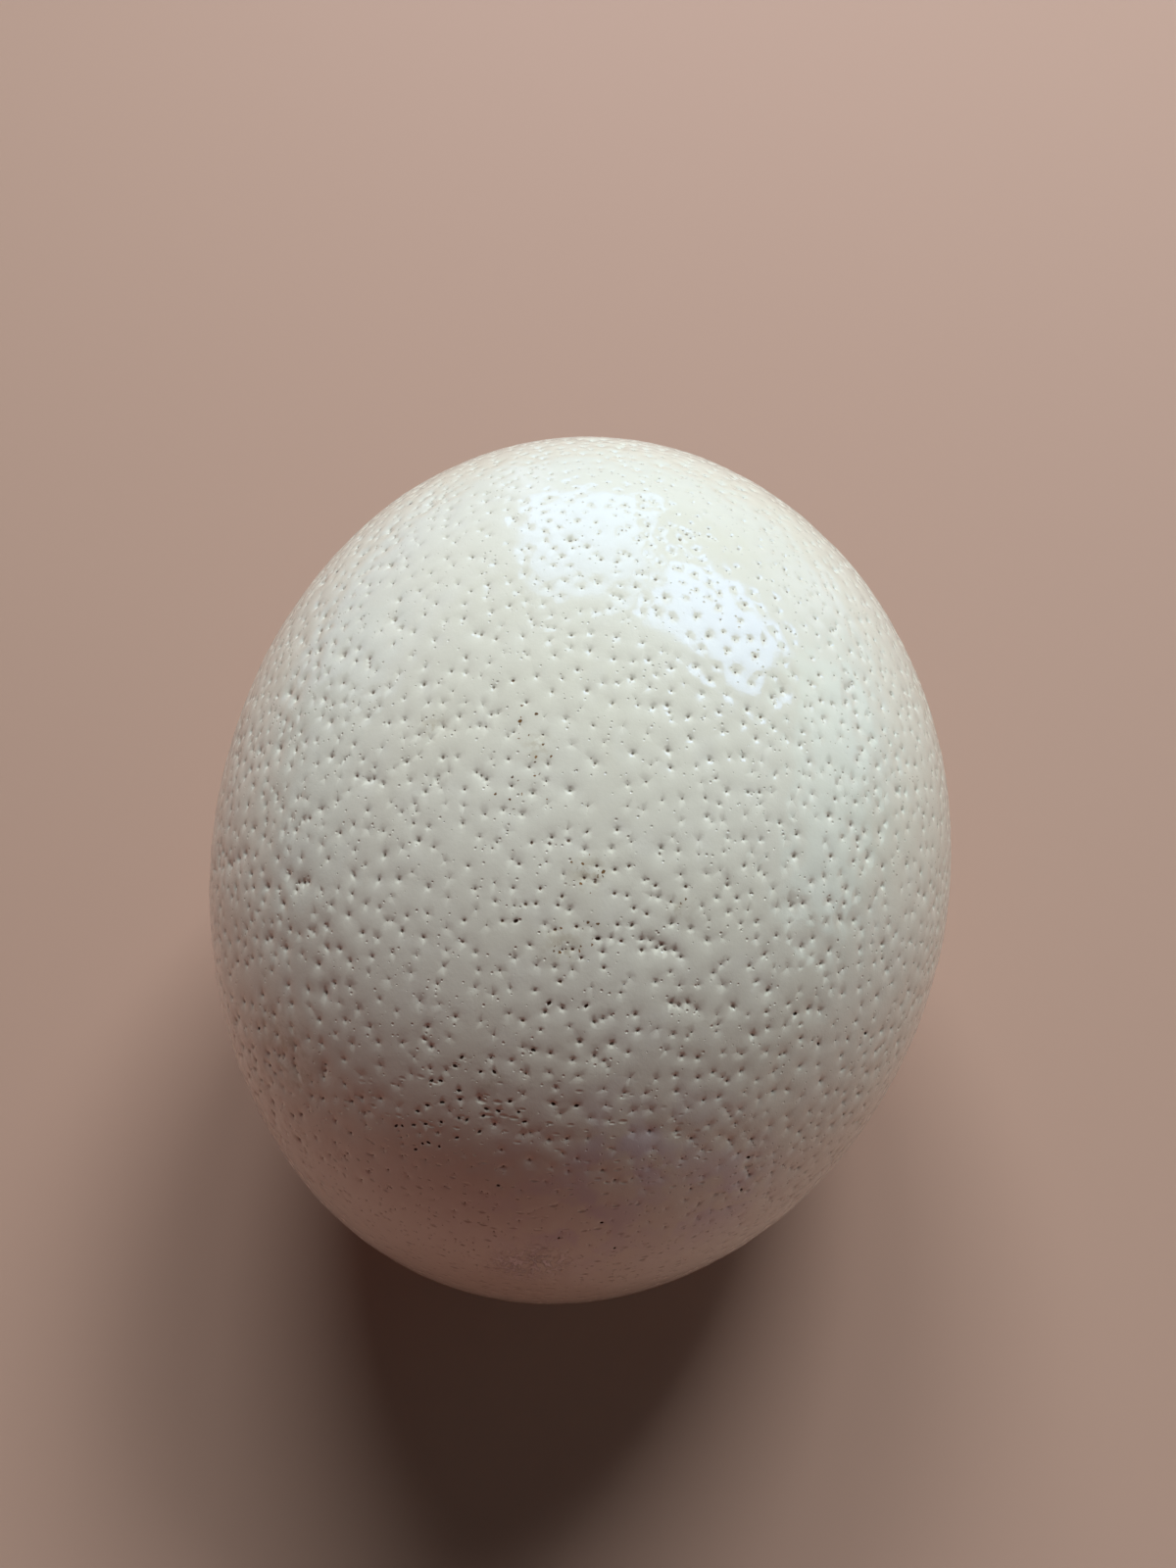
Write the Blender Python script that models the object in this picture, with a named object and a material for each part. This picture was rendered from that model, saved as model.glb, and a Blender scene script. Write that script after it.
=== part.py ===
"""An ostrich egg lying on its side.

Metres, +Z up. The long axis runs along Y, with the blunt end at +Y and the narrower end at -Y.
The origin lies on the table, under the middle of the egg's box.
"""

import math

import bmesh
import bpy
from mathutils import Matrix, Vector

# Driving dimensions, in metres unless the name says otherwise.
LENGTH = 0.155
DIAMETER = 0.127
TAPER = 0.009           # share by which the blunt half is fuller, and the narrow half slimmer
LEAN = 0.0023           # how far both ends lean towards -X, as on most real eggs
REST_TILT_DEG = 0.6     # the fuller end rides this much higher where the egg comes to rest
FLAT_DEPTH = 0.0006     # height of the cap that the resting spot takes off the underside

RINGS = 40              # steps from pole to pole
SEGMENTS = 80           # steps round the girth

SHELL_COLOUR = (0.83, 0.79, 0.66, 1.0)
SHELL_ROUGHNESS = 0.3


def clear_scene():
    for obj in list(bpy.data.objects):
        bpy.data.objects.remove(obj, do_unlink=True)


def shell_material():
    material = bpy.data.materials.new("ivory_shell")
    material.use_nodes = True
    shader = material.node_tree.nodes["Principled BSDF"]
    shader.inputs["Base Color"].default_value = SHELL_COLOUR
    shader.inputs["Roughness"].default_value = SHELL_ROUGHNESS
    shader.inputs["Metallic"].default_value = 0.0
    return material


def egg_point(polar, around):
    """A point of the shell: polar runs from the +Y end to the -Y end, around turns about Y from +X."""
    along = math.cos(polar)
    girth = DIAMETER / 2 * math.sin(polar) * (1 + TAPER * along)
    return Vector((
        girth * math.cos(around) - LEAN * along ** 2,
        LENGTH / 2 * along,
        girth * math.sin(around),
    ))


def add_egg(bm):
    """The closed shell, as rings of points between its two end points."""
    blunt_tip = bm.verts.new(egg_point(0.0, 0.0))
    narrow_tip = bm.verts.new(egg_point(math.pi, 0.0))
    rings = []
    for row in range(1, RINGS):
        polar = math.pi * row / RINGS
        rings.append([
            bm.verts.new(egg_point(polar, 2 * math.pi * step / SEGMENTS))
            for step in range(SEGMENTS)
        ])
    for step in range(SEGMENTS):
        after = (step + 1) % SEGMENTS
        bm.faces.new((blunt_tip, rings[0][step], rings[0][after]))
        bm.faces.new((narrow_tip, rings[-1][after], rings[-1][step]))
        for upper, lower in zip(rings, rings[1:]):
            bm.faces.new((upper[step], lower[step], lower[after], upper[after]))
    bmesh.ops.recalc_face_normals(bm, faces=bm.faces)


def lay_down(bm):
    """Tips the egg to its resting tilt and cuts the resting spot flat, at Z = 0."""
    tilt = Matrix.Rotation(math.radians(REST_TILT_DEG), 3, "X")
    bmesh.ops.rotate(bm, cent=(0, 0, 0), matrix=tilt, verts=bm.verts)
    lowest = min(vert.co.z for vert in bm.verts)
    bmesh.ops.translate(bm, vec=(0, 0, -lowest - FLAT_DEPTH), verts=bm.verts)
    everything = bm.verts[:] + bm.edges[:] + bm.faces[:]
    cut = bmesh.ops.bisect_plane(
        bm, geom=everything, plane_co=(0, 0, 0), plane_no=(0, 0, -1), clear_outer=True
    )
    rim = [item for item in cut["geom_cut"] if isinstance(item, bmesh.types.BMEdge)]
    bmesh.ops.edgenet_fill(bm, edges=rim)
    bmesh.ops.recalc_face_normals(bm, faces=bm.faces)


def centre_over_origin(bm):
    for axis in range(2):
        places = [vert.co[axis] for vert in bm.verts]
        shift = Vector((0, 0, 0))
        shift[axis] = -(min(places) + max(places)) / 2
        bmesh.ops.translate(bm, vec=shift, verts=bm.verts)


def make_egg():
    bm = bmesh.new()
    add_egg(bm)
    lay_down(bm)
    centre_over_origin(bm)
    mesh = bpy.data.meshes.new("egg")
    bm.to_mesh(mesh)
    bm.free()
    mesh.shade_smooth()
    mesh.materials.append(shell_material())
    egg = bpy.data.objects.new("egg", mesh)
    bpy.context.scene.collection.objects.link(egg)
    return egg


clear_scene()
make_egg()
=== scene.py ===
"""The looks of an ostrich egg: its pitted, glossy ivory shell, with the light and the camera.

Metres and +Z up, as in the frame. The narrow end is at -Y, nearest the camera. Sizes on the shell
are written in millimetres where a name ends in _MM, because pores are small.
"""

import math

import bpy
import numpy as np
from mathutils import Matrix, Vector, noise
from mathutils.geometry import delaunay_2d_cdt
from mathutils.kdtree import KDTree


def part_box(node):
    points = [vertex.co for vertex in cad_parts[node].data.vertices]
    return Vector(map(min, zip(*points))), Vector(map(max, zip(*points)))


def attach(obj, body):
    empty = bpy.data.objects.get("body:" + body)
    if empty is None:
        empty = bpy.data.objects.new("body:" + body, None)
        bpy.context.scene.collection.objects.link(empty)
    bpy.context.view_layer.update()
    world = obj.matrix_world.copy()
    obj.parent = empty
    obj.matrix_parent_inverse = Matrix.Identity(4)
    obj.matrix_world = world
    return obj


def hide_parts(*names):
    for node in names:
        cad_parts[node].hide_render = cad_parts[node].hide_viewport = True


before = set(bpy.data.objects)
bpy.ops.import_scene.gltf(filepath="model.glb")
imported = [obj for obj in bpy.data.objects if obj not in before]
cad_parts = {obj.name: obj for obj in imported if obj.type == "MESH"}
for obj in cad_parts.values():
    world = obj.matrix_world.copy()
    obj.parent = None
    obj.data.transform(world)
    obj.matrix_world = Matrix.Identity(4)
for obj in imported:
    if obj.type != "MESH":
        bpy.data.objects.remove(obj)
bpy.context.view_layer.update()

MM = 0.001

# The egg's shape. Its size comes from the frame's box.
TAPER = 0.009           # share by which the blunt half is fuller
LEAN = 0.0023           # how far both ends lean towards -X
REST_TILT = math.radians(0.6)

# The photograph and its camera.
PHOTO_WIDTH, PHOTO_HEIGHT = 1200, 1600
FOCAL_PX = 1202
SENSOR = 36.0
CAMERA_PLACE = Vector((0.0119, -0.1087, 0.2460))
CAMERA_HEADING = math.radians(-5.89)
CAMERA_DIP = math.radians(56.43)

# The shell's pores. Each is a pinhole at the bottom of a soft dimple, and the shell between them
# is left standing as low pillows.
SEED = 20
PORE_COUNT = 6900       # at most, before the pairs are added
PORE_GAP_MM = 2.02      # middling gap between scattered pores
WIDEST_GAP_MM = 2.7     # more than any gap between them
PAIR_SHARE = 0.08       # of the scattered pores, those that get a second one beside them
NAMED_CLEARANCE_MM = 1.25   # from a named pore to the nearest scattered one
PORE_CLEARANCE_MM = 0.62    # between any two pores
SMALL_SHARE = 0.47      # of the pores, those with only a slight dimple
HOLE_MM = 0.30          # from the middle of a common pore to its inner ring of vertices
HOLE_LIMITS_MM = (0.19, 0.42)
COLLAR_MM = 0.47        # from the inner ring to the outer one
DIMPLE_MM = 0.285       # depth of a common dimple
PIN_MM = 0.12           # further depth of its pinhole
DIMPLE_REACH_MM = 0.60  # distance over which a dimple fades to about a third
DIMPLE_RANGE_MM = 2.8   # distance beyond which a dimple no longer counts
MERGING = 0.35          # share that neighbouring dimples add to the deepest one
HIDDEN_BELOW = -0.62    # the underside starts where a direction's z is this low

# The shell's mesh, with its vertices in rings round the pores and scattered between them.
VERTEX_LIMIT = 99_900
RING_CLEARANCE_MM = 0.36    # between vertices of the outer rings
RING_GAP_MM = 0.45      # gap that such a vertex asks of the scattered ones
HOLE_MARGIN_MM = 0.2    # gap that a pore asks of them beyond its inner ring's width
FILL_GAP_MM = 0.86
HIDDEN_GAP_MM = 1.9     # gap on the underside
HAIR_MM = 0.002         # by which the mesh stays inside the frame's box

# Marks that the photograph shows, each at its place in the 1200 x 1600 frame: specks of brown
# dirt, pores, and then smudges, spots of painted reflection and chalky flecks with their sizes in
# millimetres.
BROWN_SPECKS_PX = (
    (534, 742), (548, 759), (526, 805), (549, 802), (503, 817), (608, 884), (595, 893),
    (694, 930), (587, 946), (575, 975),
)
DARK_PORES_PX = (
    (610, 958), (526, 940), (560, 1024), (598, 1027), (544, 1072), (588, 1129), (564, 1127),
    (812, 1035), (836, 1066), (884, 1055), (764, 1182), (757, 1215), (508, 1210), (570, 1264),
    (627, 1274), (614, 1248), (418, 513), (343, 583), (263, 1050),
)
CLUSTER_PORES_PX = (
    (471, 1079), (464, 1088), (440, 1103), (449, 1103), (490, 1094), (504, 1094), (468, 1113),
    (436, 1128), (451, 1125), (426, 1134), (469, 1122), (496, 1132), (508, 1134), (520, 1124),
    (493, 1139), (468, 1141), (476, 1143), (404, 1149), (410, 1149), (422, 1148),
    (434, 1147), (450, 1145), (431, 1167), (437, 1166), (448, 1170), (424, 1173), (466, 1161),
    (489, 1155), (535, 1145), (529, 1135),
)
DIRTY_PORES_PX = (
    (609, 884), (596, 896), (607, 900), (642, 884), (669, 904), (551, 907), (573, 915),
    (536, 923), (569, 924), (588, 946), (566, 949), (584, 969), (593, 978), (627, 912),
    (647, 927), (660, 933), (630, 944), (616, 988), (634, 961), (542, 860), (580, 858),
    (571, 1002), (533, 1042), (700, 905), (512, 940), (523, 694),
)
DIRTIEST_PX = (600, 920)        # the middle of the dirtiest patch
DIRTIEST_REACH_MM = 9.0
SPECKS_REACH_MM = 1.2
SMUDGES_PX = ((303, 1158, 2.0), (268, 1104, 2.4), (292, 1075, 4.0), (506, 1105, 0.9),
              (694, 930, 0.8), (548, 762, 1.2), (600, 890, 1.5), (575, 965, 1.6), (441, 741, 1.0))
# Spots of painted reflection, a violet-grey tint on the lower shell.
PAINTED_REFLECTION_PX = ((725, 1225, 6.0), (590, 1245, 7.0), (640, 1190, 6.0))
CHALKY_PX = ((528, 1293, 2.2), (552, 1288, 2.2))

# Rows of pores run together, each with its two ends and its number of pores.
MERGED_ROWS_PX = (((655, 959), (694, 974), 9), ((685, 1024), (711, 1028), 4))
ROW_STRAY_PX = 3        # how far its pores stray to the side
ROW_STRAY = 0.03        # and along it, as a share of its length


# ---------------------------------------------------------------- shape

class Shell:
    """The smooth egg, from a unit direction to a place in millimetres."""

    def __init__(self, low, high):
        self.low = np.array(low) / MM
        self.high = np.array(high) / MM
        size = self.high - self.low
        self.half_width = size[0] / 2
        self.half_length = size[1] / 2
        self.flat_depth = size[0] - size[2]

    def places(self, directions):
        """The places that the directions lead to, with the egg at rest."""
        x, y, z = directions.T
        girth = self.half_width * (1 + TAPER * y)
        flat = np.stack([girth * x - LEAN / MM * y * y, self.half_length * y, girth * z], axis=1)
        return self.laid_down(flat)

    def laid_down(self, points):
        """Points of the level egg, tilted and lifted to where it rests."""
        turn = np.array([
            [1, 0, 0],
            [0, math.cos(REST_TILT), -math.sin(REST_TILT)],
            [0, math.sin(REST_TILT), math.cos(REST_TILT)],
        ])
        lift = self.half_width - self.flat_depth
        return points @ turn.T + np.array([0, 0, lift])

    def normals(self, directions):
        """The outward directions there, as on a plain ellipsoid."""
        scale = np.array([self.half_width, self.half_length, self.half_width])
        raw = directions / scale
        return raw / np.linalg.norm(raw, axis=1, keepdims=True)

    def stepped(self, directions, offsets):
        """The directions reached by small steps, in millimetres, along the shell."""
        scale = np.array([self.half_width, self.half_length, self.half_width])
        raw = directions + offsets / scale
        return raw / np.linalg.norm(raw, axis=1, keepdims=True)


def camera_axes():
    """The camera's right, up and forward directions."""
    flat = math.cos(CAMERA_DIP)
    forward = Vector((
        math.sin(CAMERA_HEADING) * flat,
        math.cos(CAMERA_HEADING) * flat,
        -math.sin(CAMERA_DIP),
    ))
    right = Vector((math.cos(CAMERA_HEADING), -math.sin(CAMERA_HEADING), 0))
    return right, right.cross(forward), forward


def direction_at_pixel(shell, pixel):
    """The direction of the shell whose place the camera sees at a pixel of the photograph."""
    right, up, forward = camera_axes()
    aim = np.array(pixel, float)
    for _ in range(4):
        direction = ellipsoid_hit(shell, aim)
        reach = Vector(shell.places(direction[None])[0] * MM) - CAMERA_PLACE
        depth = reach.dot(forward) / FOCAL_PX
        seen = (PHOTO_WIDTH / 2 + reach.dot(right) / depth, PHOTO_HEIGHT / 2 - reach.dot(up) / depth)
        aim += np.array(pixel) - seen
    return direction


def ellipsoid_hit(shell, pixel):
    """Where the camera's ray through a pixel meets the egg taken as a plain ellipsoid."""
    right, up, forward = camera_axes()
    across = (pixel[0] - PHOTO_WIDTH / 2) / FOCAL_PX
    down = (pixel[1] - PHOTO_HEIGHT / 2) / FOCAL_PX
    ray = np.array(forward + right * across - up * down)
    scale = np.array([shell.half_width, shell.half_length, shell.half_width])
    centre = np.array([0, 0, shell.half_width - shell.flat_depth])
    start = (np.array(CAMERA_PLACE) / MM - centre) / scale
    ray = ray / scale
    a, b, c = ray @ ray, start @ ray, start @ start - 1
    reach = (-b - math.sqrt(max(b * b - a * c, 0))) / a
    hit = start + reach * ray
    return hit / np.linalg.norm(hit)


def tangents(normals):
    """Two directions along the shell at each normal."""
    helper = np.where(np.abs(normals[:, 1:2]) < 0.9, [[0.0, 1.0, 0.0]], [[1.0, 0.0, 0.0]])
    first = np.cross(helper, normals)
    first /= np.linalg.norm(first, axis=1, keepdims=True)
    return first, np.cross(normals, first)


def smooth_step(low, high, value):
    t = np.clip((value - low) / (high - low), 0, 1)
    return t * t * (3 - 2 * t)


def tree_of(places):
    """A tree that finds the nearest of the places."""
    tree = KDTree(len(places))
    for number, place in enumerate(places):
        tree.insert(place, number)
    tree.balance()
    return tree


def soft_noise(points, size, seed):
    """Smooth noise, about -1 to 1, with features as large as size, at points in millimetres."""
    shift = Vector((seed * 17.3, seed * -5.1, seed * 9.7))
    return np.array([noise.noise(Vector(p) / size + shift) for p in points])


# ---------------------------------------------------------------- scattering

class Scatter:
    """Keeps points apart by looking only in the cells round each."""

    def __init__(self, cell):
        self.cell = cell
        self.cells = {}

    def key(self, point):
        return tuple(int(math.floor(v / self.cell)) for v in point)

    def add(self, point, gap):
        self.cells.setdefault(self.key(point), []).append((*point, gap))

    def is_free(self, point, gap):
        """True if no kept point lies within the mean of its gap and this one."""
        kx, ky, kz = self.key(point)
        x, y, z = point
        for i in (kx - 1, kx, kx + 1):
            for j in (ky - 1, ky, ky + 1):
                for k in (kz - 1, kz, kz + 1):
                    for px, py, pz, other in self.cells.get((i, j, k), ()):
                        apart = (px - x) ** 2 + (py - y) ** 2 + (pz - z) ** 2
                        if apart < (0.5 * (gap + other)) ** 2:
                            return False
        return True


def random_directions(rng, shell, count):
    """Directions spread evenly over the egg's real area."""
    raw = rng.normal(size=(count * 2, 3))
    raw /= np.linalg.norm(raw, axis=1, keepdims=True)
    scale = np.array([shell.half_width, shell.half_length, shell.half_width])
    area = np.linalg.norm(raw / scale, axis=1) * shell.half_length
    keep = rng.random(len(raw)) * (shell.half_length / shell.half_width) < area
    return raw[keep][:count]


def main_pores(rng, shell):
    """The pores, as directions. They lie closer together in some patches than in others."""
    directions = random_directions(rng, shell, PORE_COUNT * 6)
    places = shell.places(directions)
    patch = soft_noise(places, 16.0, 1) + 0.5 * soft_noise(places, 6.0, 2)
    gaps = PORE_GAP_MM * (1 + 0.15 * np.clip(patch, -1, 1))
    chance = np.clip(0.75 - 0.2 * patch, 0.25, 1.0)
    chance[directions[:, 2] < HIDDEN_BELOW] *= 0.08
    wanted = rng.random(len(directions)) < chance
    scatter = Scatter(WIDEST_GAP_MM)
    kept = []
    for direction, place, gap in zip(directions[wanted], places[wanted].tolist(), gaps[wanted]):
        if len(kept) >= PORE_COUNT:
            break
        if scatter.is_free(place, gap):
            scatter.add(place, gap)
            kept.append(direction)
    return np.array(kept)


def companions(rng, shell, directions):
    """Second pores that run into their neighbour, as pairs and short rows."""
    chosen = directions[rng.random(len(directions)) < PAIR_SHARE]
    side, along = tangents(shell.normals(chosen))
    turn = rng.random(len(chosen)) * 2 * math.pi
    reach = rng.uniform(0.75, 1.15, len(chosen))
    step = side * (np.cos(turn) * reach)[:, None] + along * (np.sin(turn) * reach)[:, None]
    found = [shell.stepped(chosen, step)]
    longer = rng.random(len(chosen)) < 0.3
    found.append(shell.stepped(chosen[longer], 2.05 * step[longer]))
    return np.concatenate(found)


def row_pixels():
    """The pixels of the pores in the merged rows, which wander a little off the straight line."""
    found = []
    for start, end, count in MERGED_ROWS_PX:
        for number in range(count):
            share = number / (count - 1) + ROW_STRAY * math.sin(5 * number)
            aside = ROW_STRAY_PX * math.sin(2.6 * number)
            across = start[0] + (end[0] - start[0]) * share
            found.append((across, start[1] + (end[1] - start[1]) * share + aside))
    return found


# ---------------------------------------------------------------- pores

def make_pores(rng, shell):
    """Every pore, with its sizes in millimetres. The named ones come first, and all of them
    shrink towards the calm narrow end."""
    named, named_size, named_depth, named_grime, named_stretch = named_pores(shell)
    directions, places = placed_pores(rng, shell, named)
    count = len(directions)
    calm = smooth_step(0.78, 0.97, -directions[:, 1])
    size, small = pore_sizes(rng, calm, named_size)
    grime = pore_grime(rng, shell, places)
    grime[:len(named)] = named_grime
    core = rng.uniform(0.3, 0.75, count) * (1 - 0.4 * calm)
    core = np.maximum(core, 0.95 * grime)
    vigour = dimple_vigour(directions, places)
    vigour[:len(named)] *= named_depth
    stretch = 1 + rng.random(count) ** 3 * 0.9
    turn = rng.random(count) * math.pi
    stretch[:len(named)] = named_stretch
    turn[:len(named)] = rng.normal(0, 0.35, len(named))
    return {
        "direction": directions,
        "place": places,
        "slight": small | (directions[:, 2] < HIDDEN_BELOW),
        "hole": np.clip(HOLE_MM * np.sqrt(size), *HOLE_LIMITS_MM),
        "dent": DIMPLE_MM * size * vigour * (1 - 0.6 * calm),
        "reach": DIMPLE_REACH_MM * rng.uniform(0.8, 1.2, count) * np.sqrt(size),
        "pin": PIN_MM * size,
        "core": core,
        "stretch": stretch,
        "turn": turn,
        "start": rng.random(count) * math.pi,
        "grime": grime,
    }


def pore_sizes(rng, calm, named_size):
    """Each pore's size, about 1 where the shell isn't calm, and whether its dimple is slight."""
    size = np.exp(rng.normal(0.05, 0.24, len(calm)))
    small = rng.random(len(calm)) < SMALL_SHARE
    small[:len(named_size)] = False
    size[small] = rng.uniform(0.3, 0.72, small.sum())
    size[:len(named_size)] = named_size
    return size * (1 - 0.45 * calm), small


def placed_pores(rng, shell, named):
    """Directions and places of the named pores, the scattered ones and their pairs."""
    spread = main_pores(rng, shell)
    pairs = companions(rng, shell, spread)
    spread = spread[far_from(shell.places(named), shell.places(spread), NAMED_CLEARANCE_MM)]
    directions = np.concatenate([named, spread, pairs])
    places = shell.places(directions)
    kept = apart_from_earlier(places, PORE_CLEARANCE_MM)
    return directions[kept], places[kept]


def dimple_vigour(directions, places):
    """How deep dimples are, about 1: less towards +X and the narrow end, more on the flanks."""
    vigour = 1 + 0.25 * soft_noise(places, 22.0, 3)
    vigour *= 1 - 0.10 * smooth_step(0.1, 0.5, directions[:, 0])
    flank = smooth_step(0.2, 0.6, np.abs(directions[:, 0]))
    vigour *= 1 - 0.30 * smooth_step(0.35, 0.65, -directions[:, 1]) * (1 - flank)
    return vigour * (1 + 0.15 * flank)


def named_pores(shell):
    """The pores that stand out in the photograph: direction, size, depth, dirt and stretch."""
    kinds = (
        (DARK_PORES_PX, (1.1, 0.9, 1.0, 1.5)),
        (CLUSTER_PORES_PX, (1.0, 0.30, 1.0, 1.7)),
        (DIRTY_PORES_PX, (0.9, 0.9, 0.75, 1.2)),
        (row_pixels(), (1.05, 1.35, 0.1, 1.6)),
    )
    pixels = [pixel for spots, _ in kinds for pixel in spots]
    looks = np.array([look for spots, look in kinds for _ in spots])
    directions = np.array([direction_at_pixel(shell, pixel) for pixel in pixels])
    kept = apart_from_earlier(shell.places(directions), PORE_CLEARANCE_MM)
    return directions[kept], *looks[kept].T


def far_from(others, places, gap):
    """Marks the places that are at least a gap away from all the others."""
    tree = tree_of(others)
    return np.array([tree.find(place)[2] >= gap for place in places])


def apart_from_earlier(places, gap):
    """Marks each place that no earlier kept one is too close to."""
    scatter = Scatter(gap)
    kept = []
    for place in places.tolist():
        free = scatter.is_free(place, gap)
        if free:
            scatter.add(place, gap)
        kept.append(free)
    return np.array(kept)


def pore_grime(rng, shell, places):
    """How much brown dirt each pore holds, 0 to 1: more of it in the dirtiest patch."""
    count = len(places)
    patch = smooth_step(0.05, 0.55, soft_noise(places, 19.0, 4))
    grime = rng.random(count) ** 3 * (0.2 + 0.6 * patch)
    dirtiest = shell.places(direction_at_pixel(shell, DIRTIEST_PX)[None])[0]
    apart = np.sum((places - dirtiest) ** 2, axis=1)
    nearness = np.exp(-apart / (2 * DIRTIEST_REACH_MM ** 2))
    grime += nearness * rng.random(count) ** 2 * 0.8
    return np.clip(grime, 0, 1)


# ---------------------------------------------------------------- mesh

RING_SIDES = 6
CENTRE, INNER, OUTER, FILL = range(4)


def ring(shell, pores, radius, turn):
    """Steps in millimetres to a ring round every pore, stretched as the pore is, and where
    they lead. Turned by turn steps of the ring."""
    side, along = tangents(shell.normals(pores["direction"]))
    angles = pores["start"][:, None] + (np.arange(RING_SIDES) + turn) * 2 * math.pi / RING_SIDES
    long_way = np.cos(angles) * (radius * np.sqrt(pores["stretch"]))[:, None]
    short_way = np.sin(angles) * (radius / np.sqrt(pores["stretch"]))[:, None]
    cos_turn, sin_turn = np.cos(pores["turn"])[:, None], np.sin(pores["turn"])[:, None]
    right = long_way * cos_turn - short_way * sin_turn
    up = long_way * sin_turn + short_way * cos_turn
    steps = side[:, None, :] * right[:, :, None] + along[:, None, :] * up[:, :, None]
    steps = steps.reshape(-1, 3)
    base = np.repeat(pores["direction"], RING_SIDES, axis=0)
    return steps, shell.stepped(base, steps)


def shell_points(rng, shell, pores):
    """Every vertex of the shell: its direction, pore and kind, and its step from the middle of
    its pore as a share of the pinhole's floor."""
    count = len(pores["direction"])
    owners = np.arange(count)
    ring_owner = np.repeat(owners, RING_SIDES)
    steps, inner = ring(shell, pores, pores["hole"], 0)
    steps = steps / np.linalg.norm(steps, axis=1, keepdims=True)
    steps = steps / np.repeat(pores["core"], RING_SIDES)[:, None]
    outer, outer_owner = outer_ring(shell, pores, ring_owner)
    spare = VERTEX_LIMIT - count - len(inner) - len(outer)
    fill = fill_points(rng, shell, scatter_round(shell, pores, outer), spare)

    directions = np.concatenate([pores["direction"], inner, outer, fill])
    owner = np.concatenate([owners, ring_owner, outer_owner, np.full(len(fill), -1)])
    kind = np.repeat([CENTRE, INNER, OUTER, FILL], [count, len(inner), len(outer), len(fill)])
    within = np.zeros((len(directions), 3))
    within[kind == INNER] = steps
    return directions, owner, kind, within


def outer_ring(shell, pores, owner):
    """The outer rings' directions that are clear of other pores and of each other, and the pore
    that owns each."""
    _, outer = ring(shell, pores, pores["hole"] + COLLAR_MM, 0.5)
    clear = ~pores["slight"][owner]
    clear &= away_from_other_pores(shell.places(outer), owner, pores)
    outer, owner = outer[clear], owner[clear]
    apart = apart_from_earlier(shell.places(outer), RING_CLEARANCE_MM)
    return outer[apart], owner[apart]


def scatter_round(shell, pores, outer):
    """A scatter that keeps clear of the pores and their outer rings."""
    scatter = Scatter(HIDDEN_GAP_MM)
    for place, hole in zip(pores["place"].tolist(), pores["hole"]):
        scatter.add(place, 2 * hole + HOLE_MARGIN_MM)
    for place in shell.places(outer).tolist():
        scatter.add(place, RING_GAP_MM)
    return scatter


def away_from_other_pores(places, owner, pores):
    """Marks the places that no other pore's inner ring covers."""
    tree = tree_of(pores["place"])
    clear = []
    for place, mine in zip(places, owner):
        near = [(apart, other) for _, other, apart in tree.find_n(place, 2) if other != mine]
        apart, other = near[0]
        clear.append(apart > pores["hole"][other] * 1.35 + 0.1)
    return np.array(clear)


def fill_points(rng, shell, scatter, spare):
    """Directions that fill the shell between the pores, as many as there are spare vertices."""
    found = []
    directions = random_directions(rng, shell, spare * 18)
    gaps = np.where(directions[:, 2] < HIDDEN_BELOW, HIDDEN_GAP_MM, FILL_GAP_MM)
    for direction, place, gap in zip(directions, shell.places(directions).tolist(), gaps):
        if len(found) >= spare:
            break
        if scatter.is_free(place, gap):
            scatter.add(place, gap)
            found.append(direction)
    return np.array(found)


def sphere_faces(directions):
    """Triangles over points of the unit sphere: Delaunay's, on the plane that the points make when
    they are seen from the underside's pole."""
    flat = directions[:, :2] / (1 + directions[:, 2:3])
    result = delaunay_2d_cdt([Vector(p) for p in flat.tolist()], [], [], 0, 1e-9, True)
    faces = np.array(result[2])
    source = np.array([origins[0] for origins in result[3]])
    faces = source[faces]
    corners = directions[faces]
    facing = np.einsum("ij,ij->i", np.cross(corners[:, 1] - corners[:, 0],
                                            corners[:, 2] - corners[:, 0]), corners[:, 0])
    faces[facing < 0] = faces[facing < 0][:, ::-1]
    return faces


def underside_cap(faces):
    """The one open loop left round the pole, as a face."""
    edges = np.concatenate([faces[:, [0, 1]], faces[:, [1, 2]], faces[:, [2, 0]]])
    there = {tuple(edge) for edge in edges.tolist()}
    follow = {b: a for a, b in there if (b, a) not in there}
    loop = [next(iter(follow))]
    while follow[loop[-1]] != loop[0]:
        loop.append(follow[loop[-1]])
    return loop


# ---------------------------------------------------------------- relief

def relief(shell, pores, directions, owner, kind):
    """How high each vertex stands over the smooth egg, in millimetres. Dimples are below it."""
    places = shell.places(directions)
    broad = soft_noise(places, 12.0, 5) * 0.08 + soft_noise(places, 5.0, 6) * 0.05
    fine = soft_noise(places, 2.2, 7) * 0.025
    flank = smooth_step(0.1, 0.75, np.abs(directions[:, 0]))
    height = broad * (0.55 + 0.75 * flank) + fine

    tree = tree_of(pores["place"])
    own_distance = {CENTRE: np.zeros(len(pores["hole"])), INNER: pores["hole"],
                    OUTER: pores["hole"] + COLLAR_MM}
    dent, reach = pores["dent"].tolist(), pores["reach"].tolist()
    depth = np.zeros(len(places))
    for number, (place, mine, sort) in enumerate(zip(places, owner.tolist(), kind.tolist())):
        total = deepest = 0.0
        for _, other, apart in tree.find_range(place, DIMPLE_RANGE_MM):
            if other == mine:
                apart = own_distance[sort][mine]
            here = dent[other] * math.exp(-apart / reach[other])
            total += here
            deepest = max(deepest, here)
        depth[number] = deepest + MERGING * (total - deepest)
    height -= depth
    height[kind == CENTRE] -= pores["pin"]
    return height


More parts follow.
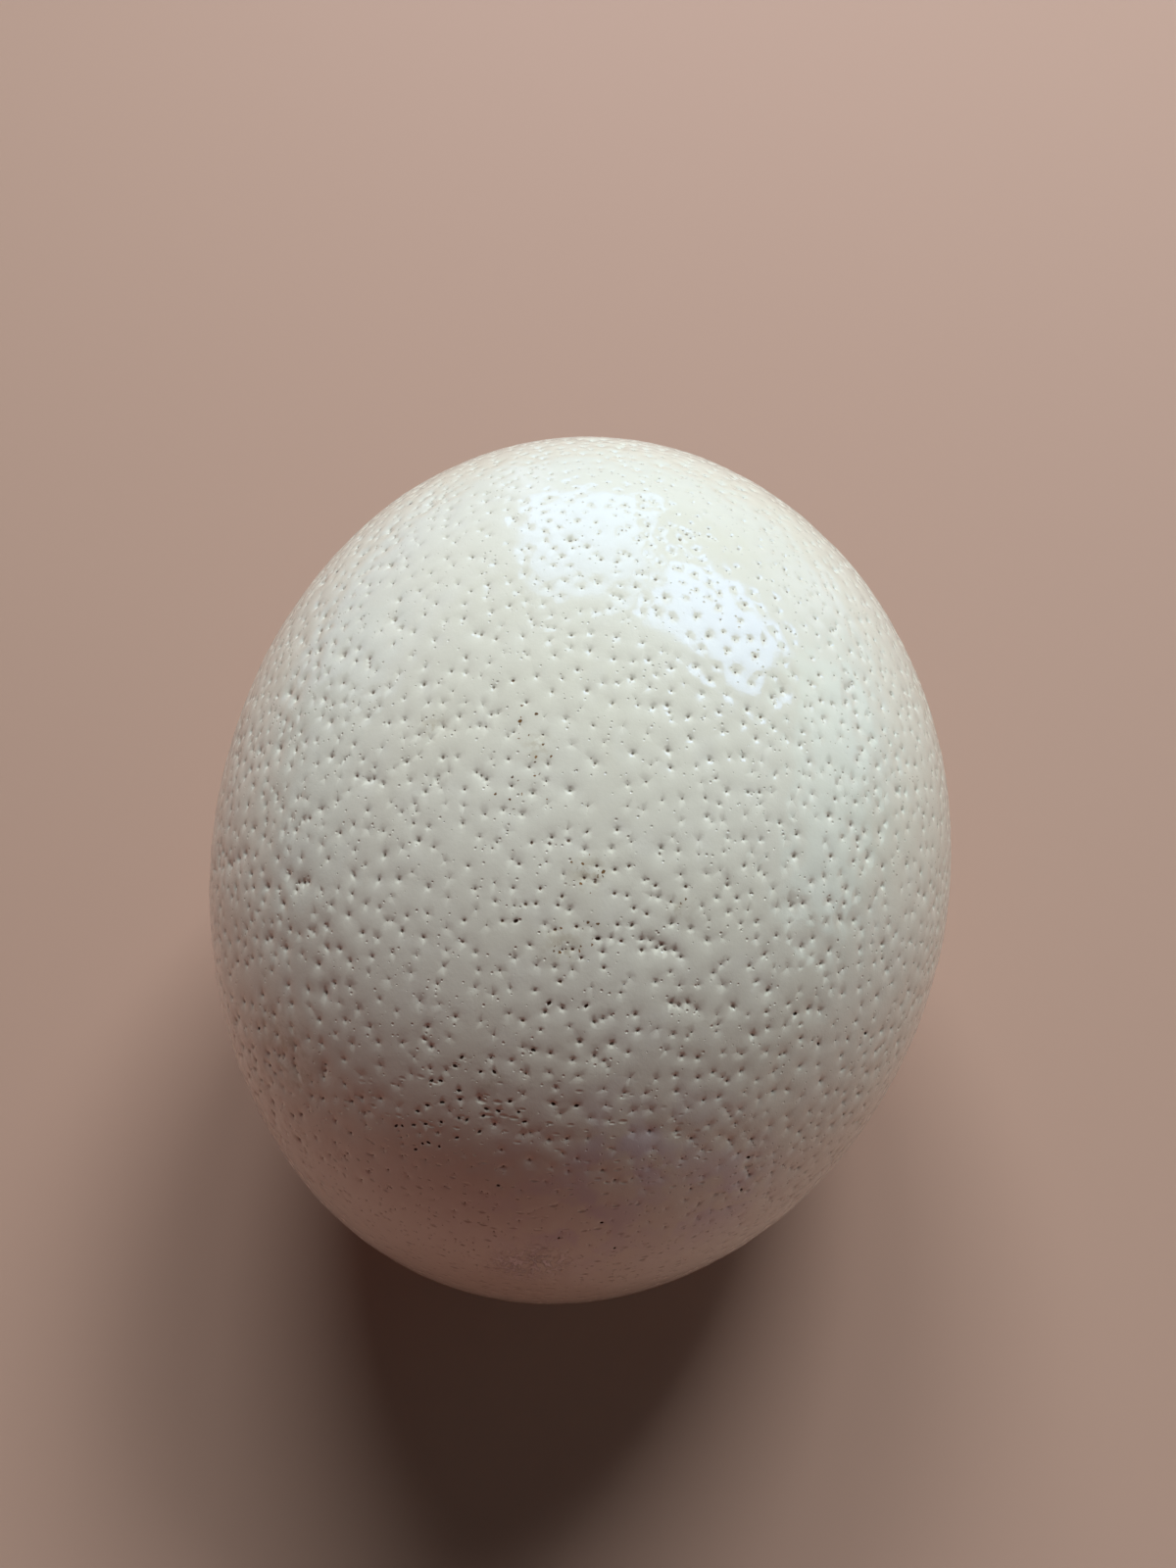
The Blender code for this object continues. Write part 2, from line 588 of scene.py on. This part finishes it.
def make_shell(shell):
    """The shell as one closed mesh, with the values that its material reads."""
    rng = np.random.default_rng(SEED)
    pores = make_pores(rng, shell)
    directions, owner, kind, within = shell_points(rng, shell, pores)
    height = relief(shell, pores, directions, owner, kind)
    height -= height.max()
    places = shell.places(directions) + shell.normals(directions) * height[:, None]
    places = fitted(shell, places)
    faces = sphere_faces(directions)
    cap = underside_cap(faces)
    mesh = bpy.data.meshes.new("eggshell")
    mesh.from_pydata((places * MM).tolist(), [], faces.tolist() + [cap])
    mesh.validate()
    mesh.shade_smooth()
    in_pore = (kind == CENTRE) | (kind == INNER)
    add_value(mesh, "outside", np.where(kind == CENTRE, 0.0, 1.0))
    add_value(mesh, "grime", np.where(in_pore, pores["grime"][owner], 0.0))
    specks = [(*pixel, SPECKS_REACH_MM) for pixel in BROWN_SPECKS_PX]
    for name, spots in (("stain", specks), ("smudge", SMUDGES_PX), ("violet_reflection", PAINTED_REFLECTION_PX),
                        ("chalky", CHALKY_PX)):
        add_value(mesh, name, near_spots(shell, directions, spots))
    add_vector(mesh, "within", within)
    obj = bpy.data.objects.new("eggshell", mesh)
    bpy.context.scene.collection.objects.link(obj)
    return obj


def fitted(shell, places):
    """The points scaled by a hair to fill the frame's box, and flat where they rest."""
    places = places.copy()
    places[:, 2] = np.maximum(places[:, 2], 0)
    low, high = places.min(axis=0), places.max(axis=0)
    scaled = (places - low) / (high - low) * (shell.high - shell.low) + shell.low
    middle = (shell.high + shell.low) / 2
    shrink = 1 - HAIR_MM / (shell.high - shell.low)
    scaled[:, :2] = middle[:2] + (scaled[:, :2] - middle[:2]) * shrink[:2]
    scaled[:, 2] *= shrink[2]
    return scaled


def add_value(mesh, name, values):
    layer = mesh.attributes.new(name, "FLOAT", "POINT")
    layer.data.foreach_set("value", np.asarray(values, np.float32))


def add_vector(mesh, name, values):
    layer = mesh.attributes.new(name, "FLOAT_VECTOR", "POINT")
    layer.data.foreach_set("vector", np.asarray(values, np.float32).ravel())


def near_spots(shell, directions, spots):
    """1 at spots of the photograph, fading to 0 over each one's own size in millimetres."""
    places = shell.places(directions)
    found = np.zeros(len(places))
    for across, down, size in spots:
        spot = shell.places(direction_at_pixel(shell, (across, down))[None])[0]
        apart = np.sum((places - spot) ** 2, axis=1)
        found = np.maximum(found, np.exp(-apart / (2 * size ** 2)))
    return found


# ---------------------------------------------------------------- materials

class Nodes:
    """Short ways to add and join shader nodes."""

    def __init__(self, material):
        material.use_nodes = True
        self.tree = material.node_tree
        self.tree.nodes.clear()

    def add(self, kind, **settings):
        node = self.tree.nodes.new(kind)
        for name, value in settings.items():
            setattr(node, name, value)
        return node

    def join(self, source, target):
        self.tree.links.new(source, target)

    def attribute(self, name):
        return self.add("ShaderNodeAttribute", attribute_name=name).outputs["Fac"]

    def noise(self, place, size_mm, detail=2.0, roughness=0.5):
        node = self.add("ShaderNodeTexNoise")
        self.join(place, node.inputs["Vector"])
        node.inputs["Scale"].default_value = 1 / (size_mm * MM)
        node.inputs["Detail"].default_value = detail
        node.inputs["Roughness"].default_value = roughness
        return node.outputs["Fac"]

    def wobbled(self, place, size_mm, reach_mm):
        """The place pushed about at random, so that round marks come out ragged."""
        node = self.add("ShaderNodeTexNoise")
        self.join(place, node.inputs["Vector"])
        node.inputs["Scale"].default_value = 1 / (size_mm * MM)
        push = self.add("ShaderNodeVectorMath", operation="MULTIPLY_ADD")
        self.join(node.outputs["Color"], push.inputs[0])
        push.inputs[1].default_value = (reach_mm * MM,) * 3
        self.join(place, push.inputs[2])
        return push.outputs["Vector"]

    def cells(self, place, size_mm):
        """Distance from the nearest of many scattered points, as a share of their spacing, and
        three random values that each point has."""
        node = self.add("ShaderNodeTexVoronoi")
        self.join(place, node.inputs["Vector"])
        node.inputs["Scale"].default_value = 1 / (size_mm * MM)
        split = self.add("ShaderNodeSeparateColor")
        self.join(node.outputs["Color"], split.inputs["Color"])
        shares = tuple(split.outputs[name] for name in ("Red", "Green", "Blue"))
        return node.outputs["Distance"], shares

    def span(self, value, low, high, to_low=0.0, to_high=1.0):
        node = self.add("ShaderNodeMapRange", interpolation_type="SMOOTHSTEP")
        self.join(value, node.inputs["Value"])
        node.inputs["From Min"].default_value = low
        node.inputs["From Max"].default_value = high
        node.inputs["To Min"].default_value = to_low
        node.inputs["To Max"].default_value = to_high
        return node.outputs["Result"]

    def math(self, operation, first, second):
        node = self.add("ShaderNodeMath", operation=operation)
        for socket, value in zip(node.inputs, (first, second)):
            if isinstance(value, (int, float)):
                socket.default_value = value
            else:
                self.join(value, socket)
        return node.outputs["Value"]

    def mix(self, share, first, second):
        node = self.add("ShaderNodeMix", data_type="RGBA")
        sockets = [s for s in node.inputs if s.enabled]
        for socket, value in zip(sockets, (share, first, second)):
            if isinstance(value, (int, float, tuple)):
                socket.default_value = value
            else:
                self.join(value, socket)
        return next(s for s in node.outputs if s.enabled)


IVORY = (0.80, 0.775, 0.665, 1)
CREAM = (0.79, 0.762, 0.645, 1)
CHALK = (0.82, 0.80, 0.71, 1)
DIRT = (0.060, 0.030, 0.018, 1)
MUD = (0.20, 0.115, 0.055, 1)
# Painted shade for the pinholes' floors and the fine pits.
PIT_SHADE = (0.30, 0.235, 0.165, 1)
RUST = (0.31, 0.17, 0.065, 1)
UMBER = (0.11, 0.060, 0.030, 1)
SMUDGE = (0.40, 0.31, 0.16, 1)
FLAKE = (0.95, 0.93, 0.92, 1)
# Painted reflection, a violet-grey tint.
PAINTED_REFLECTION = (0.70, 0.645, 0.66, 1)
NARROW_END_Y = -0.056    # where the calm narrow end begins
CALMING = 0.008          # distance over which it begins


def pore_masks(n, place):
    """The pinhole's floor, which carries painted shade and dirt, and its hollow, each 1 in the
    middle of a pore and 0 outside.
    """
    within = n.add("ShaderNodeAttribute", attribute_name="within").outputs["Vector"]
    length = n.add("ShaderNodeVectorMath", operation="LENGTH")
    n.join(within, length.inputs[0])
    share = length.outputs["Value"]
    ragged = n.span(n.noise(place, 0.3, 2, 0.6), 0.2, 0.8, -0.35, 0.35)
    inside = n.span(n.attribute("outside"), 0.995, 0.9999, 1, 0)
    floor = n.span(n.math("ADD", share, ragged), 0.65, 1.15, 1, 0)
    hollow = n.span(share, 0.0, 1.3, 1, 0)
    return n.math("MULTIPLY", floor, inside), n.math("MULTIPLY", hollow, inside)


def micro_pits(n, place):
    """Fine pits between the pores: a bowl that is 1 in the middle of each and 0 outside."""
    apart, (chance, size, _) = n.cells(place, 0.9)
    there = n.span(chance, 0.42, 0.46, 1, 0)
    share = n.math("DIVIDE", apart, n.span(size, 0, 1, 0.13, 0.30))
    return n.math("MULTIPLY", n.span(share, 0.1, 1.0, 1, 0), there)


def long_pits(n, place, narrow_end):
    """Faint pits at the narrow end, longer than they are tall."""
    squeeze = n.add("ShaderNodeVectorMath", operation="MULTIPLY")
    n.join(place, squeeze.inputs[0])
    squeeze.inputs[1].default_value = (0.5, 1.0, 1.0)
    apart, (chance, size, _) = n.cells(squeeze.outputs["Vector"], 1.1)
    there = n.span(chance, 0.7, 0.75, 1, 0)
    share = n.math("DIVIDE", apart, n.span(size, 0, 1, 0.16, 0.36))
    bowl = n.math("MULTIPLY", n.span(share, 0.1, 1.0, 1, 0), there)
    return n.math("MULTIPLY", bowl, narrow_end)


def with_dirt(n, place, tone):
    """The shell's tone with smudges and ragged specks of earth."""
    apart, (chance, shade, size) = n.cells(n.wobbled(place, 0.45, 0.5), 0.66)
    there = n.math("LESS_THAN", chance, n.math("MULTIPLY", n.attribute("stain"), 0.45))
    share = n.math("DIVIDE", apart, n.span(size, 0, 1, 0.16, 0.42))
    dot = n.math("MULTIPLY", n.span(share, 0.8, 1.1, 1, 0), there)
    patchy = n.span(n.noise(place, 1.3, 3, 0.6), 0.42, 0.62)
    smudge = n.math("MULTIPLY", n.attribute("smudge"), patchy)
    tone = n.mix(n.math("MULTIPLY", smudge, 0.4), tone, SMUDGE)
    return n.mix(dot, tone, n.mix(shade, RUST, UMBER))


def narrow_end_mask(n, place):
    """1 at the calm narrow end and 0 over the rest."""
    split = n.add("ShaderNodeSeparateXYZ")
    n.join(place, split.inputs["Vector"])
    return n.span(split.outputs["Y"], NARROW_END_Y - CALMING, NARROW_END_Y, 1, 0)


def base_tone(n, place):
    """The ivory shell, which drifts towards cream and chalk, with a painted reflection of
    violet-grey tint at given spots.
    """
    tone = n.mix(n.span(n.noise(place, 24, 3), 0.42, 0.66), IVORY, CREAM)
    tone = n.mix(n.span(n.noise(place, 5, 3), 0.5, 0.75, 0, 0.4), tone, CHALK)
    # Painted reflection: violet-grey tint at its spots, broken up by noise.
    reflection_share = n.math("MULTIPLY", n.attribute("violet_reflection"), n.span(n.noise(place, 5, 3), 0.4, 0.6))
    return n.mix(reflection_share, tone, PAINTED_REFLECTION)


def with_pore_shade_and_dirt(n, tone, floor):
    """The shell's tone with painted shade on the pinholes' floors, and dark brown where they hold
    dirt.
    """
    # Painted shade on every pinhole's floor; the dirt goes on top.
    tone = n.mix(n.math("MULTIPLY", floor, 0.55), tone, PIT_SHADE)
    grime = n.attribute("grime")
    dirt = n.mix(n.span(grime, 0.75, 1.0), MUD, DIRT)
    return n.mix(n.math("MULTIPLY", floor, grime), tone, dirt)


def bump_normal(n, layers):
    """The normal over fine layers of relief, each given with its height in millimetres."""
    bump = n.add("ShaderNodeBump")
    bump.inputs["Strength"].default_value = 1.0
    bump.inputs["Distance"].default_value = MM
    height = n.math("MULTIPLY", *layers[0])
    for layer, rise in layers[1:]:
        height = n.math("ADD", height, n.math("MULTIPLY", layer, rise))
    n.join(height, bump.inputs["Height"])
    return bump.outputs["Normal"]


def shell_tone(n, place, floor, pricks, slits, chalky):
    """The shell's colour, from its ivory ground with painted shade in the pits to the dirt on top.
    """
    tone = base_tone(n, place)
    # Painted shade in the fine pits and in the long pits at the narrow end.
    tone = n.mix(n.math("MULTIPLY", pricks, 0.3), tone, PIT_SHADE)
    tone = n.mix(n.math("MULTIPLY", slits, 0.35), tone, PIT_SHADE)
    tone = n.mix(chalky, tone, FLAKE)
    tone = with_dirt(n, place, tone)
    return with_pore_shade_and_dirt(n, tone, floor)


def shell_material():
    material = bpy.data.materials.new("eggshell")
    n = Nodes(material)
    place = n.add("ShaderNodeTexCoord").outputs["Object"]
    floor, hollow = pore_masks(n, place)
    pricks = micro_pits(n, place)
    slits = long_pits(n, place, narrow_end_mask(n, place))
    flakes = n.span(n.noise(place, 1.0, 3, 0.7), 0.45, 0.58)
    chalky = n.math("MULTIPLY", n.attribute("chalky"), flakes)

    grain = n.noise(place, 0.35, 2, 0.6)
    ripple = n.noise(place, 0.9, 3, 0.6)
    normal = bump_normal(n, ((hollow, -0.10), (pricks, -0.085), (slits, -0.10), (chalky, 0.2),
                             (grain, 0.012), (ripple, 0.02)))

    shader = n.add("ShaderNodeBsdfPrincipled")
    tone = shell_tone(n, place, floor, pricks, slits, chalky)
    n.join(tone, shader.inputs["Base Color"])
    n.join(n.span(grain, 0.3, 0.7, 0.40, 0.46), shader.inputs["Roughness"])
    n.join(normal, shader.inputs["Normal"])
    n.join(normal, shader.inputs["Coat Normal"])
    shader.inputs["Specular IOR Level"].default_value = 0.1
    shader.inputs["Coat Weight"].default_value = 0.9
    shader.inputs["Coat Roughness"].default_value = 0.075
    out = n.add("ShaderNodeOutputMaterial")
    n.join(shader.outputs["BSDF"], out.inputs["Surface"])
    return material


# ---------------------------------------------------------------- stage

FLOOR_COLOUR = (0.43, 0.28, 0.215, 1)
FLOOR_REACH = 1.3
FLOOR_FADE = (0.45, 0.98)    # shares of its reach between which it fades
BACKDROP_COLOUR = (0.48, 0.36, 0.30, 1)
FILL_LIGHT = (1.0, 0.95, 0.9, 1)
FILL_STRENGTH = 0.02

# Plain panels. Each is named, with its heading from +Y towards +X, height above the horizon,
# width, height and roll in degrees, and how bright it is. The glints and the rims only show in
# the gloss. The sky and the glow only light the surfaces, cool from above and warm from low down.
# The sides do both.
LIGHT_REACH = 1.5
GLINT_COLOUR = (0.60, 0.97, 1.78)
GLINTS = (
    ("left_glint", -5.2, 31.2, 25.5, 32, 0, 1.75),
    ("right_glint", 34.3, 37.8, 30, 20.5, 18, 3.1),
)
RIM_COLOUR = (0.85, 1.0, 1.35)
RIMS = (
    ("left_rim", -38, 12, 50, 46, 0, 0.44),
    ("middle_rim", 12, 4, 60, 20, 0, 0.40),
    ("right_rim", 50, 8, 40, 30, 0, 0.30),
)
SKY_COLOUR = (0.93, 1.0, 1.04)
SKY = (
    ("right_sky", 25, 52.8, 20, 16, 0, 18.3),
    ("left_sky", -18, 52.8, 20, 16, 0, 12.0),
    ("high_sky", 8, 52.8, 46, 16, 0, 3.8),
)
GLOW_COLOUR = (1.0, 0.06, 0.05)
GLOW = (
    ("right_glow", 120, 7, 60, 13, 0, 0.82),
    ("left_glow", 240, 7, 60, 13, 0, 0.80),
    ("back_glow", 285, 7, 60, 13, 0, 0.13),
)
SIDE_COLOUR = (0.62, 1.15, 1.2)
SIDES = (
    ("right_side", 75, 16, 50, 24, 0, 0.88),
    ("left_side", 285, 15, 50, 24, 0, 0.28),
)


def make_floor():
    """A plain round floor that fades into the backdrop before its rim."""
    mesh = bpy.data.meshes.new("floor")
    angles = np.linspace(0, 2 * math.pi, 64, endpoint=False)
    rim = [(FLOOR_REACH * math.cos(a), FLOOR_REACH * math.sin(a), 0) for a in angles]
    mesh.from_pydata(rim, [], [list(range(len(rim)))])
    mesh.materials.append(floor_material())
    floor = bpy.data.objects.new("floor", mesh)
    bpy.context.scene.collection.objects.link(floor)


def floor_material():
    material = bpy.data.materials.new("floor")
    n = Nodes(material)
    place = n.add("ShaderNodeTexCoord").outputs["Object"]
    length = n.add("ShaderNodeVectorMath", operation="LENGTH")
    n.join(place, length.inputs[0])
    start, end = FLOOR_FADE
    fade = n.span(length.outputs["Value"], start * FLOOR_REACH, end * FLOOR_REACH, 0, 1)
    shader = n.add("ShaderNodeBsdfPrincipled")
    shader.inputs["Base Color"].default_value = FLOOR_COLOUR
    shader.inputs["Roughness"].default_value = 0.7
    shader.inputs["Specular IOR Level"].default_value = 0.12
    clear = n.add("ShaderNodeBsdfTransparent")
    both = n.add("ShaderNodeMixShader")
    n.join(fade, both.inputs["Fac"])
    n.join(shader.outputs["BSDF"], both.inputs[1])
    n.join(clear.outputs["BSDF"], both.inputs[2])
    out = n.add("ShaderNodeOutputMaterial")
    n.join(both.outputs["Shader"], out.inputs["Surface"])
    return material


def heading_direction(heading, height):
    """The direction at a heading from +Y towards +X and a height above the horizon."""
    flat = math.cos(height)
    return Vector((math.sin(heading) * flat, math.cos(heading) * flat, math.sin(height)))


def make_light(middle, colour, name, heading, height, wide, tall, roll, bright):
    """A panel that faces the middle of the egg. Its brightness doesn't depend on its size."""
    towards = heading_direction(math.radians(heading), math.radians(height))
    data = bpy.data.lights.new(name, "AREA")
    data.shape = "RECTANGLE"
    data.size = 2 * LIGHT_REACH * math.tan(math.radians(wide / 2))
    data.size_y = 2 * LIGHT_REACH * math.tan(math.radians(tall / 2))
    data.energy = bright * math.pi * data.size * data.size_y
    data.color = colour
    light = bpy.data.objects.new(name, data)
    light.location = middle + towards * LIGHT_REACH
    light.rotation_euler = (-towards).to_track_quat("-Z", "Y").to_euler()
    light.rotation_euler.rotate_axis("Z", math.radians(roll))
    light.visible_camera = False
    bpy.context.scene.collection.objects.link(light)
    return light


def make_lights(middle):
    for panel in GLINTS:
        make_light(middle, GLINT_COLOUR, *panel).visible_diffuse = False
    for panel in RIMS:
        make_light(middle, RIM_COLOUR, *panel).visible_diffuse = False
    for panel in SKY:
        make_light(middle, SKY_COLOUR, *panel).visible_glossy = False
    for panel in GLOW:
        make_light(middle, GLOW_COLOUR, *panel).visible_glossy = False
    for panel in SIDES:
        make_light(middle, SIDE_COLOUR, *panel)


def make_world():
    """Faint light from all round, and a plain pale backdrop where the camera sees past the floor."""
    world = bpy.data.worlds.new("studio")
    bpy.context.scene.world = world
    world.use_nodes = True
    tree = world.node_tree
    tree.nodes.clear()
    fill = tree.nodes.new("ShaderNodeBackground")
    fill.inputs["Color"].default_value = FILL_LIGHT
    fill.inputs["Strength"].default_value = FILL_STRENGTH
    backdrop = tree.nodes.new("ShaderNodeBackground")
    backdrop.inputs["Color"].default_value = BACKDROP_COLOUR
    path = tree.nodes.new("ShaderNodeLightPath")
    mix = tree.nodes.new("ShaderNodeMixShader")
    tree.links.new(path.outputs["Is Camera Ray"], mix.inputs["Fac"])
    tree.links.new(fill.outputs["Background"], mix.inputs[1])
    tree.links.new(backdrop.outputs["Background"], mix.inputs[2])
    out = tree.nodes.new("ShaderNodeOutputWorld")
    tree.links.new(mix.outputs["Shader"], out.inputs["Surface"])


def make_camera():
    data = bpy.data.cameras.new("camera")
    data.sensor_width = SENSOR
    data.lens = SENSOR * FOCAL_PX / PHOTO_HEIGHT
    camera = bpy.data.objects.new("camera", data)
    camera.location = CAMERA_PLACE
    forward = camera_axes()[2]
    camera.rotation_euler = forward.to_track_quat("-Z", "Y").to_euler()
    bpy.context.scene.collection.objects.link(camera)
    bpy.context.scene.camera = camera


def main():
    bpy.context.scene.view_settings.view_transform = "Standard"
    make_camera()
    make_floor()
    make_world()
    low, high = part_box("egg")
    make_lights((Vector(low) + Vector(high)) / 2)
    eggshell = make_shell(Shell(low, high))
    eggshell.data.materials.append(shell_material())
    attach(eggshell, "root")
    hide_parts("egg")


main()
